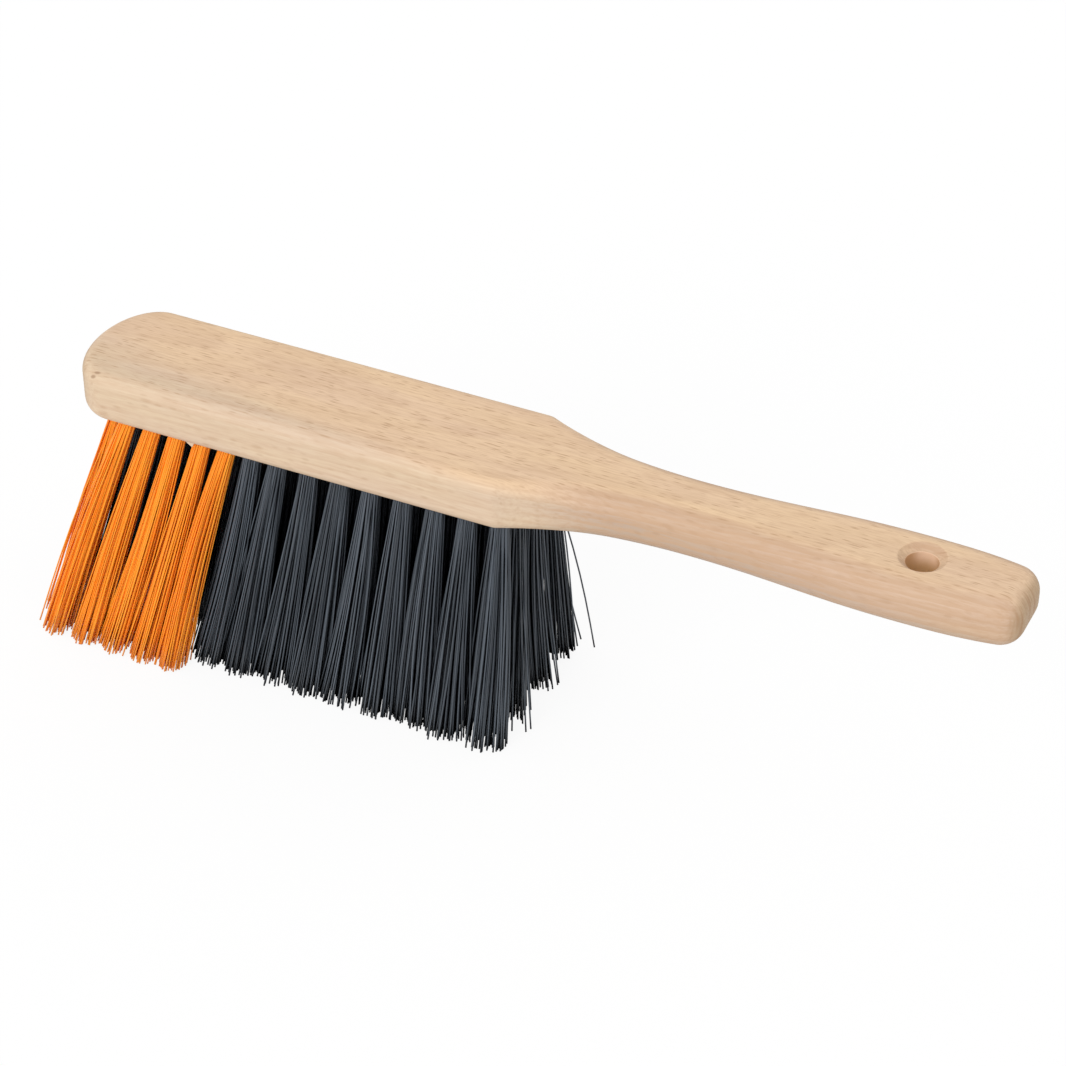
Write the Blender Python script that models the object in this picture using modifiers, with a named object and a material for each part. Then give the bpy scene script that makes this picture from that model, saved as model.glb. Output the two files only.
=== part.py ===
"""Hand brush: a one-piece beech body with bristle tufts anchored in drilled holes.

Metres, +Z up. The brush stands on its bristle tips at Z = 0. The nose points to -X and the handle to +X.
Inside the script X is measured from the shoulder, where the head meets the handle, and an empty then
brings the middle of the whole brush over the origin.
"""

from math import atan2, copysign, cos, pi, radians, sin, tan

import bmesh
import bpy
from mathutils import Matrix, Vector
from mathutils.geometry import interpolate_bezier

# Head of the body, in plan
HEAD_LENGTH = 0.1548
HEAD_WIDTH_REAR = 0.0450
HEAD_FRONT_GROWTH = 0.0013
NOSE_DEPTH = 0.0161
SHOULDER_ANGLE = radians(25.2)
SHOULDER_RADIUS = 0.0060

# Handle, in plan
HANDLE_LENGTH = 0.1638
NECK_DISTANCE = 0.0583
NECK_WIDTH = 0.0241
PALM_TO_END = 0.0386
PALM_WIDTH = 0.0309
END_WIDTH = 0.0263
END_ANGLE = radians(11.0)
END_CORNER_RADIUS = 0.0078
SHOULDER_PULL = 0.0155
NECK_PULL = 0.0200
PALM_PULL = 0.0270
END_PULL = 0.0108

# Thickness of the wood and how far its edges are rounded over
BODY_THICKNESS = 0.0176
HEAD_TOP_RADIUS = 0.0045
HEAD_BOTTOM_RADIUS = 0.0040
HANDLE_EDGE_RADIUS = 0.0072
EDGE_BLEND_LENGTH = 0.0350
EDGE_LIMIT_SHARE = 0.96

# Hang hole through the handle, with countersunk mouths
HANG_HOLE_TO_END = 0.0343
HANG_HOLE_DIAMETER = 0.0102
HANG_MOUTH_DIAMETER = 0.0151
HANG_MOUTH_DEPTH = 0.0021

# Tuft holes: columns run along the head, rows across it. Their pitches are shares of the head's length, and
# the nose tufts stand at a share of the outer rows' distance from the middle.
COLUMNS = 14
ROWS = "abcd"
NOSE_ROWS = "bc"
REAR_TUFT_INSET = 0.0002
REAR_PITCH_SHARE = 0.07203
FRONT_PITCH_SHARE = 0.05943
FRONT_PITCH_COLUMNS = 7
NOSE_PITCH_SHARE = 0.05006
NOSE_TUFT_SHARE = 0.424
ROW_INSET = 0.0060
TUFT_HOLE_DIAMETER = 0.0064
TUFT_HOLE_DEPTH = 0.0115
TUFT_CLEARANCE = 0.0003

# Flat wire anchor across each tuft's fold, biting into the wood on both sides. Its length is a share of the
# distance between two rows.
ANCHOR_LENGTH_SHARE = 0.709
ANCHOR_THICKNESS = 0.0006
ANCHOR_HEIGHT = 0.0020
ANCHOR_CROWN = 0.0015

# Bristles: how far they stand out of the wood, and how they lean forward and splay sideways at the nose,
# in the first column and in the last, and in the orange and grey tufts
TRIM_LENGTH = 0.0830
NOSE_LEAN = radians(15.2)
NOSE_SPLAY = radians(9.3)
FRONT_LEAN = radians(18.2)
REAR_LEAN = radians(2.0)
ORANGE_SPLAY = radians(10.8)
GREY_SPLAY = radians(7.3)
STRAND_RADIUS = 0.0007
STRAND_MARGIN = 0.0001
STRAND_ROOT_DEPTH = 0.0020
RING_STRANDS = 6
TIP_FILL_SHARE = 0.80
TIP_SPREAD = 0.0110
ORANGE_COLUMNS = 5

# Fineness of the round shapes, and how far a cutter runs past a face
NOSE_STEPS = 14
SHOULDER_STEPS = 3
HANDLE_STEPS = 9
CORNER_STEPS = 4
EDGE_STEPS = 4
HANG_HOLE_STEPS = 24
TUFT_SIDES = 8
STRAND_SIDES = 3
CUT_OVERRUN = 0.0020
WELD_DISTANCE = 0.00001

BEECH_COLOUR = (0.750, 0.545, 0.375, 1.0)
ORANGE_COLOUR = (0.900, 0.245, 0.025, 1.0)
GREY_COLOUR = (0.055, 0.062, 0.072, 1.0)
BEECH_ROUGHNESS = 0.55
BRISTLE_ROUGHNESS = 0.40
SMOOTH_ANGLE = radians(35)

HEAD_WIDTH_FRONT = HEAD_WIDTH_REAR + HEAD_FRONT_GROWTH
REAR_PITCH = REAR_PITCH_SHARE * HEAD_LENGTH
FRONT_PITCH = FRONT_PITCH_SHARE * HEAD_LENGTH
NOSE_PITCH = NOSE_PITCH_SHARE * HEAD_LENGTH
ROW_HALF_SPAN = HEAD_WIDTH_REAR / 2 - ROW_INSET
ANCHOR_LENGTH = ANCHOR_LENGTH_SHARE * 2 * ROW_HALF_SPAN / (len(ROWS) - 1)
UNDERSIDE = TRIM_LENGTH
TOP = TRIM_LENGTH + BODY_THICKNESS
PALM_DISTANCE = HANDLE_LENGTH - PALM_TO_END
HANG_HOLE_DISTANCE = HANDLE_LENGTH - HANG_HOLE_TO_END
TUFT_RADIUS = TUFT_HOLE_DIAMETER / 2 - TUFT_CLEARANCE
HEAD_TOP_EDGE = min(HEAD_TOP_RADIUS, EDGE_LIMIT_SHARE * min(SHOULDER_RADIUS, BODY_THICKNESS / 2))
HEAD_BOTTOM_EDGE = min(HEAD_BOTTOM_RADIUS, EDGE_LIMIT_SHARE * min(SHOULDER_RADIUS, BODY_THICKNESS / 2))
HANDLE_EDGE = min(
    HANDLE_EDGE_RADIUS, EDGE_LIMIT_SHARE * min(END_CORNER_RADIUS, NECK_WIDTH / 2, BODY_THICKNESS / 2)
)


def clear_scene():
    for obj in list(bpy.data.objects):
        bpy.data.objects.remove(obj)


def new_collection(name):
    collection = bpy.data.collections.new(name)
    bpy.context.scene.collection.children.link(collection)
    return collection


def material(name, colour, roughness):
    made = bpy.data.materials.new(name)
    made.use_nodes = True
    shader = made.node_tree.nodes["Principled BSDF"]
    shader.inputs["Base Color"].default_value = colour
    shader.inputs["Roughness"].default_value = roughness
    shader.inputs["Metallic"].default_value = 0.0
    made.diffuse_color = colour
    return made


def object_from(name, bm, collection):
    mesh = bpy.data.meshes.new(name)
    bm.to_mesh(mesh)
    bm.free()
    obj = bpy.data.objects.new(name, mesh)
    collection.objects.link(obj)
    return obj


def as_cutter(obj):
    obj.hide_render = True
    obj.display_type = "WIRE"
    return obj


def add_boolean(obj, name, operation, other):
    modifier = obj.modifiers.new(name, "BOOLEAN")
    modifier.operation = operation
    modifier.solver = "EXACT"
    modifier.object = other
    return modifier


def leaning_prism(bm, foot, head, radius, sides):
    """A round or three-sided bar from foot up to head whose two ends lie level."""
    axis = head - foot
    middle = (foot + head) / 2
    shear = Matrix(
        (
            (1, 0, axis.x, middle.x),
            (0, 1, axis.y, middle.y),
            (0, 0, axis.z, middle.z),
            (0, 0, 0, 1),
        )
    )
    turn = Matrix.Rotation(pi / sides, 4, "Z")
    bmesh.ops.create_cone(
        bm,
        cap_ends=True,
        segments=sides,
        radius1=radius,
        radius2=radius,
        depth=1,
        matrix=shear @ turn,
    )


def level_box(bm, centre, size):
    scale = Matrix.Diagonal((size.x, size.y, size.z, 1))
    bmesh.ops.create_cube(bm, size=1, matrix=Matrix.Translation(centre) @ scale)


def arc(start, heading, turn, radius, steps):
    """Points of an arc that starts at start, running along heading, and turns clockwise by turn."""
    points = []
    for step in range(steps + 1):
        now = heading - turn * step / steps
        across = radius * (sin(heading) - sin(now))
        down = radius * (cos(now) - cos(heading))
        points.append(Vector((start.x + across, start.y + down)))
    return points


def heading_vector(angle):
    return Vector((cos(angle), sin(angle)))


def half_outline():
    """The body's edge in plan on the +Y side, from the nose tip to the middle of the handle's end."""
    front = HEAD_WIDTH_FRONT / 2
    rear = HEAD_WIDTH_REAR / 2
    nose = []
    for step in range(NOSE_STEPS + 1):
        angle = pi / 2 * step / NOSE_STEPS
        nose.append(Vector((-HEAD_LENGTH + NOSE_DEPTH * (1 - cos(angle)), front * sin(angle))))

    corner = Vector((0, rear))
    side = corner - nose[-1]
    side_heading = atan2(side.y, side.x)
    turn = SHOULDER_ANGLE + side_heading
    tangent = SHOULDER_RADIUS * tan(turn / 2)
    bend_start = corner - heading_vector(side_heading) * tangent
    shoulder = arc(bend_start, side_heading, turn, SHOULDER_RADIUS, SHOULDER_STEPS)

    neck = Vector((NECK_DISTANCE, NECK_WIDTH / 2))
    palm = Vector((PALM_DISTANCE, PALM_WIDTH / 2))
    end = Vector((HANDLE_LENGTH - END_CORNER_RADIUS * (1 - sin(END_ANGLE)), END_WIDTH / 2))
    stretches = (
        (shoulder[-1], heading_vector(-SHOULDER_ANGLE) * SHOULDER_PULL, Vector((-NECK_PULL, 0)), neck),
        (neck, Vector((PALM_PULL, 0)), Vector((-PALM_PULL, 0)), palm),
        (palm, Vector((END_PULL, 0)), -heading_vector(-END_ANGLE) * END_PULL, end),
    )
    handle = []
    for start, pull_out, pull_in, finish in stretches:
        points = interpolate_bezier(start, start + pull_out, finish + pull_in, finish, HANDLE_STEPS + 1)
        handle += [point.to_2d() for point in points[1:]]

    corner_arc = arc(end, -END_ANGLE, pi / 2 - END_ANGLE, END_CORNER_RADIUS, CORNER_STEPS)[1:]
    return nose + shoulder + handle + corner_arc + [Vector((corner_arc[-1].x, 0))]


def outward(points, index):
    """Unit normal of the outline at a point, with the outline mirrored past its two ends."""
    before = points[index - 1] if index else Vector((points[1].x, -points[1].y))
    last = len(points) - 1
    after = points[index + 1] if index < last else Vector((points[-2].x, -points[-2].y))
    along = (after - before).normalized()
    return Vector((-along.y, along.x))


def edge_blend(x):
    """0 on the head and 1 on the handle, rising smoothly behind the shoulder."""
    share = min(max(x / EDGE_BLEND_LENGTH, 0), 1)
    return share * share * (3 - 2 * share)


def edge_radius(head_radius, x):
    return head_radius + (HANDLE_EDGE - head_radius) * edge_blend(x)


def edge_ring(points, head_radius, face, inwards, angle):
    """One ring of points round the body at an angle of its rounded edge: 0 on the side, pi/2 on the face."""
    ring = []
    for index, point in enumerate(points):
        radius = edge_radius(head_radius, point.x)
        inset = point - outward(points, index) * radius * (1 - cos(angle))
        ring.append(Vector((inset.x, inset.y, face + inwards * radius * (1 - sin(angle)))))
    return ring


def hang_hole_cutter(collection):
    """A turned cutter: the hole's width in the middle, with a countersunk mouth at each face."""
    hole = HANG_HOLE_DIAMETER / 2
    mouth = HANG_MOUTH_DIAMETER / 2
    profile = (
        (0, TOP + CUT_OVERRUN),
        (mouth, TOP + CUT_OVERRUN),
        (mouth, TOP),
        (hole, TOP - HANG_MOUTH_DEPTH),
        (hole, UNDERSIDE + HANG_MOUTH_DEPTH),
        (mouth, UNDERSIDE),
        (mouth, UNDERSIDE - CUT_OVERRUN),
        (0, UNDERSIDE - CUT_OVERRUN),
    )

    bm = bmesh.new()
    verts = [bm.verts.new((radius, 0, height)) for radius, height in profile]
    for first, second in zip(verts, verts[1:]):
        bm.edges.new((first, second))
    cutter = as_cutter(object_from("hang_hole_cutter", bm, collection))
    cutter.location.x = HANG_HOLE_DISTANCE
    screw = cutter.modifiers.new("turn", "SCREW")
    screw.steps = HANG_HOLE_STEPS
    screw.render_steps = HANG_HOLE_STEPS
    screw.use_merge_vertices = True
    screw.merge_threshold = WELD_DISTANCE
    return cutter


def column_x(column):
    """Where a column of tufts leaves the wood. The columns are closer together towards the nose."""
    rear_pitches = COLUMNS - max(column, FRONT_PITCH_COLUMNS)
    front_pitches = FRONT_PITCH_COLUMNS - min(max(column, 1), FRONT_PITCH_COLUMNS)
    nose_pitches = 1 - min(column, 1)
    front_x = -REAR_TUFT_INSET - rear_pitches * REAR_PITCH - front_pitches * FRONT_PITCH
    return front_x - nose_pitches * NOSE_PITCH


def column_lean(column):
    return FRONT_LEAN + (REAR_LEAN - FRONT_LEAN) * column / COLUMNS


def row_share(row):
    """-1 for the row at the -Y edge and +1 for the row at the +Y edge."""
    return 2 * row / (len(ROWS) - 1) - 1


def tuft_axis(column, row, height):
    """The point of a tuft's axis at a height above the tips."""
    drop = UNDERSIDE - height
    splay = ORANGE_SPLAY if is_orange(column, row) else GREY_SPLAY
    lean = column_lean(column)
    y = row_share(row) * (ROW_HALF_SPAN + drop * tan(splay))
    if column == 0:
        lean = NOSE_LEAN
        y = copysign(NOSE_TUFT_SHARE * ROW_HALF_SPAN + drop * tan(NOSE_SPLAY), row_share(row))
    return Vector((column_x(column) - drop * tan(lean), y, height))


def tip_reach(column):
    """Half the length and half the width of the patch that a tuft's tips cover."""
    halfway = [column_x(near) - UNDERSIDE * tan(column_lean(near)) for near in (column - 0.5, column + 0.5)]
    return TIP_FILL_SHARE * (halfway[1] - halfway[0]) / 2, TIP_SPREAD / 2


def anchor_size(clearance=0):
    grown = 2 * clearance
    return Vector((ANCHOR_THICKNESS + grown, ANCHOR_LENGTH + grown, ANCHOR_HEIGHT + grown))


def anchor_centre(column, row):
    height = UNDERSIDE + TUFT_HOLE_DEPTH - TUFT_CLEARANCE - ANCHOR_CROWN - ANCHOR_HEIGHT / 2
    return tuft_axis(column, row, height)


def tuft_places():
    """(column, row) of every tuft: full columns in all rows, and one more at the nose in the inner rows."""
    full = [(column, row) for column in range(1, COLUMNS + 1) for row in range(len(ROWS))]
    return [(0, ROWS.index(letter)) for letter in NOSE_ROWS] + full


def is_orange(column, row):
    outer = row in (0, len(ROWS) - 1)
    return column == 0 or (outer and column <= ORANGE_COLUMNS)


def add_tuft_cutters(collection):
    holes = bmesh.new()
    slots = bmesh.new()
    slot_size = anchor_size(TUFT_CLEARANCE)
    for column, row in tuft_places():
        foot = tuft_axis(column, row, UNDERSIDE - CUT_OVERRUN)
        head = tuft_axis(column, row, UNDERSIDE + TUFT_HOLE_DEPTH)
        leaning_prism(holes, foot, head, TUFT_HOLE_DIAMETER / 2, TUFT_SIDES)
        level_box(slots, anchor_centre(column, row), slot_size)
    return (
        as_cutter(object_from("tuft_hole_cutter", holes, collection)),
        as_cutter(object_from("anchor_slot_cutter", slots, collection)),
    )


def add_body(parts, cutters, beech):
    """Half of the body, lofted from rings round its edge because the edge radius grows along the handle."""
    outline = half_outline()
    angles = [pi / 2 * step / EDGE_STEPS for step in range(EDGE_STEPS + 1)]
    rings = [edge_ring(outline, HEAD_TOP_EDGE, TOP, -1, angle) for angle in reversed(angles)]
    rings += [edge_ring(outline, HEAD_BOTTOM_EDGE, UNDERSIDE, 1, angle) for angle in angles]

    bm = bmesh.new()
    loops = [[bm.verts.new(point) for point in ring] for ring in rings]
    for upper, lower in zip(loops, loops[1:]):
        for index in range(len(outline) - 1):
            bm.faces.new((upper[index], upper[index + 1], lower[index + 1], lower[index]))
    bm.faces.new(loops[0][::-1])
    bm.faces.new(loops[-1])
    body = object_from("beech_body", bm, parts)
    body.data.materials.append(beech)

    mirror = body.modifiers.new("other_side", "MIRROR")
    mirror.use_axis = (False, True, False)
    mirror.merge_threshold = WELD_DISTANCE
    holes, slots = add_tuft_cutters(cutters)
    add_boolean(body, "tuft_holes", "DIFFERENCE", holes)
    add_boolean(body, "anchor_slots", "DIFFERENCE", slots)
    add_boolean(body, "hang_hole", "DIFFERENCE", hang_hole_cutter(cutters))
    body.data.shade_smooth()
    body.data.set_sharp_from_angle(angle=SMOOTH_ANGLE)
    return body


def add_tuft(name, column, row, parts, finish):
    """A tuft as one solid: the folded root in its hole, the anchor across the fold and the strands."""
    root = bmesh.new()
    mouth = tuft_axis(column, row, UNDERSIDE)
    crown = tuft_axis(column, row, UNDERSIDE + TUFT_HOLE_DEPTH - TUFT_CLEARANCE)
    leaning_prism(root, mouth, crown, TUFT_RADIUS, TUFT_SIDES)
    tuft = object_from(name, root, parts)

    held = bmesh.new()
    level_box(held, anchor_centre(column, row), anchor_size())
    reach_x, reach_y = tip_reach(column)
    root_reach = TUFT_RADIUS * cos(pi / TUFT_SIDES) - STRAND_RADIUS - STRAND_MARGIN
    start = tuft_axis(column, row, UNDERSIDE + STRAND_ROOT_DEPTH)
    finish_point = tuft_axis(column, row, 0)
    places = [(0, 0)]
    for step in range(RING_STRANDS):
        angle = 2 * pi * step / RING_STRANDS
        places.append((cos(angle), sin(angle)))
    for across, aside in places:
        top = start + Vector((across * root_reach, aside * root_reach, 0))
        tip = finish_point + Vector((across * reach_x, aside * reach_y, 0))
        leaning_prism(held, tip, top, STRAND_RADIUS, STRAND_SIDES)
    strands = object_from(name + "_strands", held, parts)

    add_boolean(tuft, "join", "UNION", strands)
    bpy.context.view_layer.update()
    evaluated = tuft.evaluated_get(bpy.context.evaluated_depsgraph_get())
    joined = bpy.data.meshes.new_from_object(evaluated)
    tuft.modifiers.clear()
    tuft.data = joined
    joined.materials.clear()
    joined.materials.append(finish)
    bpy.data.objects.remove(strands)
    return tuft


def lowest_and_highest_x(objects):
    graph = bpy.context.evaluated_depsgraph_get()
    corners = [corner[0] for obj in objects for corner in obj.evaluated_get(graph).bound_box]
    return min(corners), max(corners)


def main():
    clear_scene()
    parts = new_collection("hand_brush")
    cutters = new_collection("cutters")
    beech = material("beech", BEECH_COLOUR, BEECH_ROUGHNESS)
    orange = material("orange_bristle", ORANGE_COLOUR, BRISTLE_ROUGHNESS)
    grey = material("grey_bristle", GREY_COLOUR, BRISTLE_ROUGHNESS)

    made = [add_body(parts, cutters, beech)]
    for column, row in tuft_places():
        colour, finish = ("orange", orange) if is_orange(column, row) else ("grey", grey)
        name = f"{colour}_tuft_{ROWS[row]}{column:02d}"
        made.append(add_tuft(name, column, row, parts, finish))

    bpy.context.view_layer.update()
    lowest, highest = lowest_and_highest_x(made)
    middle = bpy.data.objects.new("brush_middle", None)
    parts.objects.link(middle)
    for obj in made + list(cutters.objects):
        obj.parent = middle
    middle.location.x = -(lowest + highest) / 2
    print(f"shoulder at x = {middle.location.x:.5f}")


main()
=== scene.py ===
"""Looks of the hand brush: a beech body, tufts of orange and grey filaments, a pale floor and soft light.

Metres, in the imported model's frame: the brush stands on its tips at Z = 0, nose to -X and handle to +X.
X is measured from the shoulder, where the head meets the handle, and SHOULDER_X takes it to the frame.
"""

from math import atan2, copysign, cos, pi, radians, sin, tan

import bmesh
import bpy
import numpy as np
from mathutils import Matrix, Vector
from mathutils.geometry import interpolate_bezier


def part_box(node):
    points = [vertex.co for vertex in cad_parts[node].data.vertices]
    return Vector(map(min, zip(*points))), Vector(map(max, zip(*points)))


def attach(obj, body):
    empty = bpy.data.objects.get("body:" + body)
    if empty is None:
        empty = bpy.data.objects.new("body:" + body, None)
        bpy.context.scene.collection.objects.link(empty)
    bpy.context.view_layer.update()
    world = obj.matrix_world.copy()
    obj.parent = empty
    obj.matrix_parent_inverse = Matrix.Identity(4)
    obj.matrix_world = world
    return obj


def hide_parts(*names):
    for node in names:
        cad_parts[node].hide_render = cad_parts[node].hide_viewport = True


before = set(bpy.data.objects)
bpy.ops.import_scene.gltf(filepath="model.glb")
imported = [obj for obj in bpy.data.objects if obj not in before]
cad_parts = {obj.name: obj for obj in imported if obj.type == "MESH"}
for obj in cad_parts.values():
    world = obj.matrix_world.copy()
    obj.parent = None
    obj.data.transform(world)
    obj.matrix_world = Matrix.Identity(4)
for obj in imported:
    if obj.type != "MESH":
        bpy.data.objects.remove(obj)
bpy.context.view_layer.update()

# Sizes of the body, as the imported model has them
HEAD_LENGTH = 0.1548
HEAD_WIDTH_REAR = 0.0450
HEAD_WIDTH_FRONT = 0.0463
NOSE_DEPTH = 0.0161
SHOULDER_ANGLE = radians(25.2)
SHOULDER_RADIUS = 0.0060
HANDLE_LENGTH = 0.1638
NECK_DISTANCE = 0.0583
NECK_WIDTH = 0.0241
PALM_TO_END = 0.0386
PALM_WIDTH = 0.0309
END_WIDTH = 0.0263
END_ANGLE = radians(11.0)
END_CORNER_RADIUS = 0.0078
SHOULDER_PULL = 0.0155
NECK_PULL = 0.0200
PALM_PULL = 0.0270
END_PULL = 0.0108
HEAD_TOP_RADIUS = 0.0045
HEAD_BOTTOM_RADIUS = 0.0040
HANDLE_EDGE_RADIUS = 0.0072
EDGE_BLEND_LENGTH = 0.0350

# Hang hole and tuft holes
HANG_HOLE_TO_END = 0.0343
HANG_HOLE_DIAMETER = 0.0102
HANG_MOUTH_DIAMETER = 0.0151
HANG_MOUTH_DEPTH = 0.0021
HANG_LIP_RADIUS = 0.0010
COLUMNS = 14
ROWS = "abcd"
REAR_TUFT_INSET = 0.0002
REAR_PITCH = 0.01115
FRONT_PITCH = 0.0092
FRONT_PITCH_COLUMNS = 7
ROW_INSET = 0.0060
TUFT_HOLE_DIAMETER = 0.0064
TUFT_HOLE_DEPTH = 0.0115
NOSE_PITCH = 0.00775
NOSE_TUFT_ACROSS = 0.006996
NOSE_LEAN = radians(15.2)
NOSE_SPLAY = radians(9.3)
FRONT_LEAN = radians(18.2)
REAR_LEAN = radians(2.0)
ORANGE_SPLAY = radians(10.8)
GREY_SPLAY = radians(7.3)
ORANGE_COLUMNS = 5

# Sliver of wood torn loose at the lower edge of the near side: its corners along the edge and its tip, from
# the shoulder, across and above the underside, and its thickness
SLIVER_CORNERS = (Vector((-0.1098, -0.0213, 0.0014)), Vector((-0.1062, -0.0213, 0.0014)))
SLIVER_TIP = Vector((-0.1072, -0.0214, -0.0007))
SLIVER_THICKNESS = 0.0009
SLIVER_TIP_THICKNESS = 0.0003

# Filaments: a tuft is a bundle whose places follow a sunflower spiral
FILAMENTS = {"orange": 130, "grey": 116}
FILAMENT_DIAMETER = {"orange": 0.00052, "grey": 0.00060}
GOLDEN_ANGLE = radians(137.5)
ROOT_REACH = 0.00290
ROOT_DEPTH = 0.0105
TIP_SPREAD_SHARE = {"orange": 0.99, "grey": 1.12}
TIP_SPREAD_ACROSS = 0.0058
TIP_JITTER = {"orange": 0.00060, "grey": 0.00095}
BOW_JITTER = 0.00045
TUFT_DRIFT = 0.00045
TUFT_BOW = 0.00050
GREY_SWEEP = 0.0026
TIP_CLEARANCE = 0.00010
TUFT_TRIM = 0.00060
TIP_RAGGEDNESS = 0.00045
SHORT_FILAMENT_CHANCE = 0.020
SHORT_FILAMENT_LOSS = 0.0060

# Filaments that stray from their tufts: where their tips are from the shoulder, and how far they bow along X
STRAYS = {
    "orange_tuft_b00": (((-0.1669, -0.0320), -0.0018),),
    "grey_tuft_d14": (((0.0085, 0.0357), 0.0018), ((0.0026, 0.0377), -0.0014)),
    "grey_tuft_c14": (((0.0045, 0.0080), 0.0),),
    "grey_tuft_b14": (((0.0078, -0.0120), 0.0), ((0.0070, -0.0140), 0.0), ((0.0027, -0.0155), 0.0)),
}
FILAMENT_SIDES = 6
FILAMENT_STEPS = 8
ROOT_STEPS = 2
SEED = 20

# Fineness of the body's mesh
NOSE_STEPS = 44
SHOULDER_STEPS = 10
HANDLE_STEPS = 30
CORNER_STEPS = 16
EDGE_STEPS = 10
HANG_HOLE_STEPS = 72
TUFT_HOLE_SIDES = 20
CUT_OVERRUN = 0.0020
FLAT_BORDER = 0.0006
WELD_DISTANCE = 0.00001
SHARP_ANGLE = radians(40)
NORMAL_WEIGHT = 100

# Camera of the photograph
FRAME_SIZE = 1066
FOCAL_PIXELS = 3067.85
SENSOR_WIDTH = 36.0
CAMERA_DISTANCE = 0.96181
CAMERA_AZIMUTH = radians(25.6)
CAMERA_ELEVATION = radians(36.21)
AIM_FROM_SHOULDER = 0.00283
AIM_BELOW_HEAD = 0.01392

# Studio light: an even pale room and one broad soft key from the front left
ROOM_LIGHT = 0.825
KEY_STRENGTH = 1.25
KEY_AZIMUTH = radians(-10)
KEY_ELEVATION = radians(29)
KEY_SOFTNESS = radians(38)
FLOOR_REACH = 6.0
FLOOR_GLOW_SHARE = 0.91


def solid_colour(red, green, blue):
    return (red, green, blue, 1.0)


WHITE = solid_colour(1.0, 1.0, 1.0)

# Noise: its middle value, how many layers the coarsest and the finest patterns have, and the stretch of it
# over which a surface goes from smooth to rough
NOISE_MIDDLE = (0.5, 0.5, 0.5)
COARSE_DETAIL = 1.0
FINE_DETAIL = 3.0
ROUGHNESS_RANGE = (0.3, 0.7)

FLOOR_COLOUR = solid_colour(0.74, 0.74, 0.74)

# Beech: its tones, the sizes along X, across Y and up Z of the cells that its patterns vary over, where each
# pattern starts and is full, and how far it takes the wood towards its tone
BEECH_YELLOW = solid_colour(0.817, 0.586, 0.369)
BEECH_PINK = solid_colour(0.795, 0.568, 0.384)
PALE_TINT = solid_colour(0.885, 0.955, 1.045)
HANDLE_SIDE_TINT = solid_colour(0.720, 0.700, 0.755)
BEECH_LATE = solid_colour(0.560, 0.360, 0.225)
BEECH_RAY = solid_colour(0.430, 0.250, 0.135)
BEECH_KNOT = solid_colour(0.330, 0.190, 0.110)
BEECH_END = solid_colour(0.455, 0.318, 0.188)
# Hang hole's wall: pink tone lifted by painted light, darker end grain, painted shade half way through
BEECH_BORE_TONE_AND_LIGHT = solid_colour(0.850, 0.600, 0.420)
BEECH_BORE_END = solid_colour(0.610, 0.370, 0.195)
BEECH_BORE_PAINTED_SHADE = solid_colour(0.620, 0.390, 0.180)
PATCH_CELL = (0.060, 0.014, 0.014)
GRAIN_BEND_CELL = (0.070, 0.030, 0.030)
GRAIN_BEND = (0.0, 0.0025, 0.0025)
GRAIN_RISE_SHARE = 0.035
PITH_ACROSS = 0.010
PITH_ABOVE = 0.080
PALE_START = 0.0665
PALE_FULL = 0.0715
PALE_RISE_SHARE = 0.05
RING_WIDTH = 0.0026
RING_WANDER = 0.0032
RING_WANDER_CELL = (0.036, 0.012, 0.012)
FIBRE_CELL = (0.0080, 0.00055, 0.00065)
STRAND_CELL = (0.0260, 0.0011, 0.0014)
RAY_CELL = (0.0080, 0.00095, 0.0034)
FINE_RAY_CELL = (0.0052, 0.00075, 0.0020)
END_STREAK_CELL = (0.0200, 0.0010, 0.0140)
RAY_CHOICE = 0.35
FINE_RAY_CHOICE = 0.12
RAY_CORE = (0.10, 0.40)
RING_RISE = (0.25, 0.86)
RING_FALL = (0.90, 0.99)
PATCH_RANGE = (0.30, 0.70)
FIBRE_RANGE = (0.35, 0.75)
FIBRE_NOISE_ROUGHNESS = 0.6
STRAND_RANGE = (0.40, 0.80)
END_STREAK_RANGE = (0.40, 0.66)
SIDE_FACING = (0.20, 0.80)
END_FACING = (0.45, 0.95)
RING_DEPTH_SHARE = 0.20
HANDLE_RING_DEPTH_SHARE = 0.72
FIBRE_DEPTH_SHARE = 0.48
SIDE_FIBRE_DEPTH_SHARE = 0.36
STRAND_DEPTH_SHARE = 0.24
RAY_DEPTH_SHARE = 0.62
FINE_RAY_DEPTH_SHARE = 0.66
SIDE_RAY_LOSS_SHARE = 0.60
END_DEPTH_SHARE = 0.74
END_STREAK_DEPTH_SHARE = 0.85
BORE_DEPTH_SHARE = 0.90
KNOT_DEPTH_SHARE = 0.70
HANDLE_TONE_START = 0.002
HANDLE_TONE_FULL = 0.040
HANDLE_TONE_FADE = 0.070
HANDLE_TONE_FADED = 0.130
HANDLE_TONE_FADED_SHARE = 0.80
HANDLE_TONE_FACING = (0.10, 0.62)
HANDLE_FIBRE_GAIN_SHARE = 0.45
BORE_EDGE = 0.0002
BORE_END_FACING = (0.35, 0.98)
# Heights from the hole's middle over which its painted shade fades out
BORE_SHADE_REACH = (0.0005, 0.0055)

# Two short dark dashes where a pin knot ends near the nose, from the shoulder, across and above the underside
KNOT_MARKS = (Vector((-0.1416, -0.0202, 0.0171)), Vector((-0.1427, -0.0213, 0.0160)))
KNOT_SIZE = (0.0017, 0.0007, 0.0011)
KNOT_FADE = (0.3, 1.0)
BEECH_ROUGHNESS = (0.50, 0.64)
BEECH_SPECULAR = 0.35
BEECH_RELIEF = 0.00006
RELIEF_SHARE = 0.5
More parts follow.
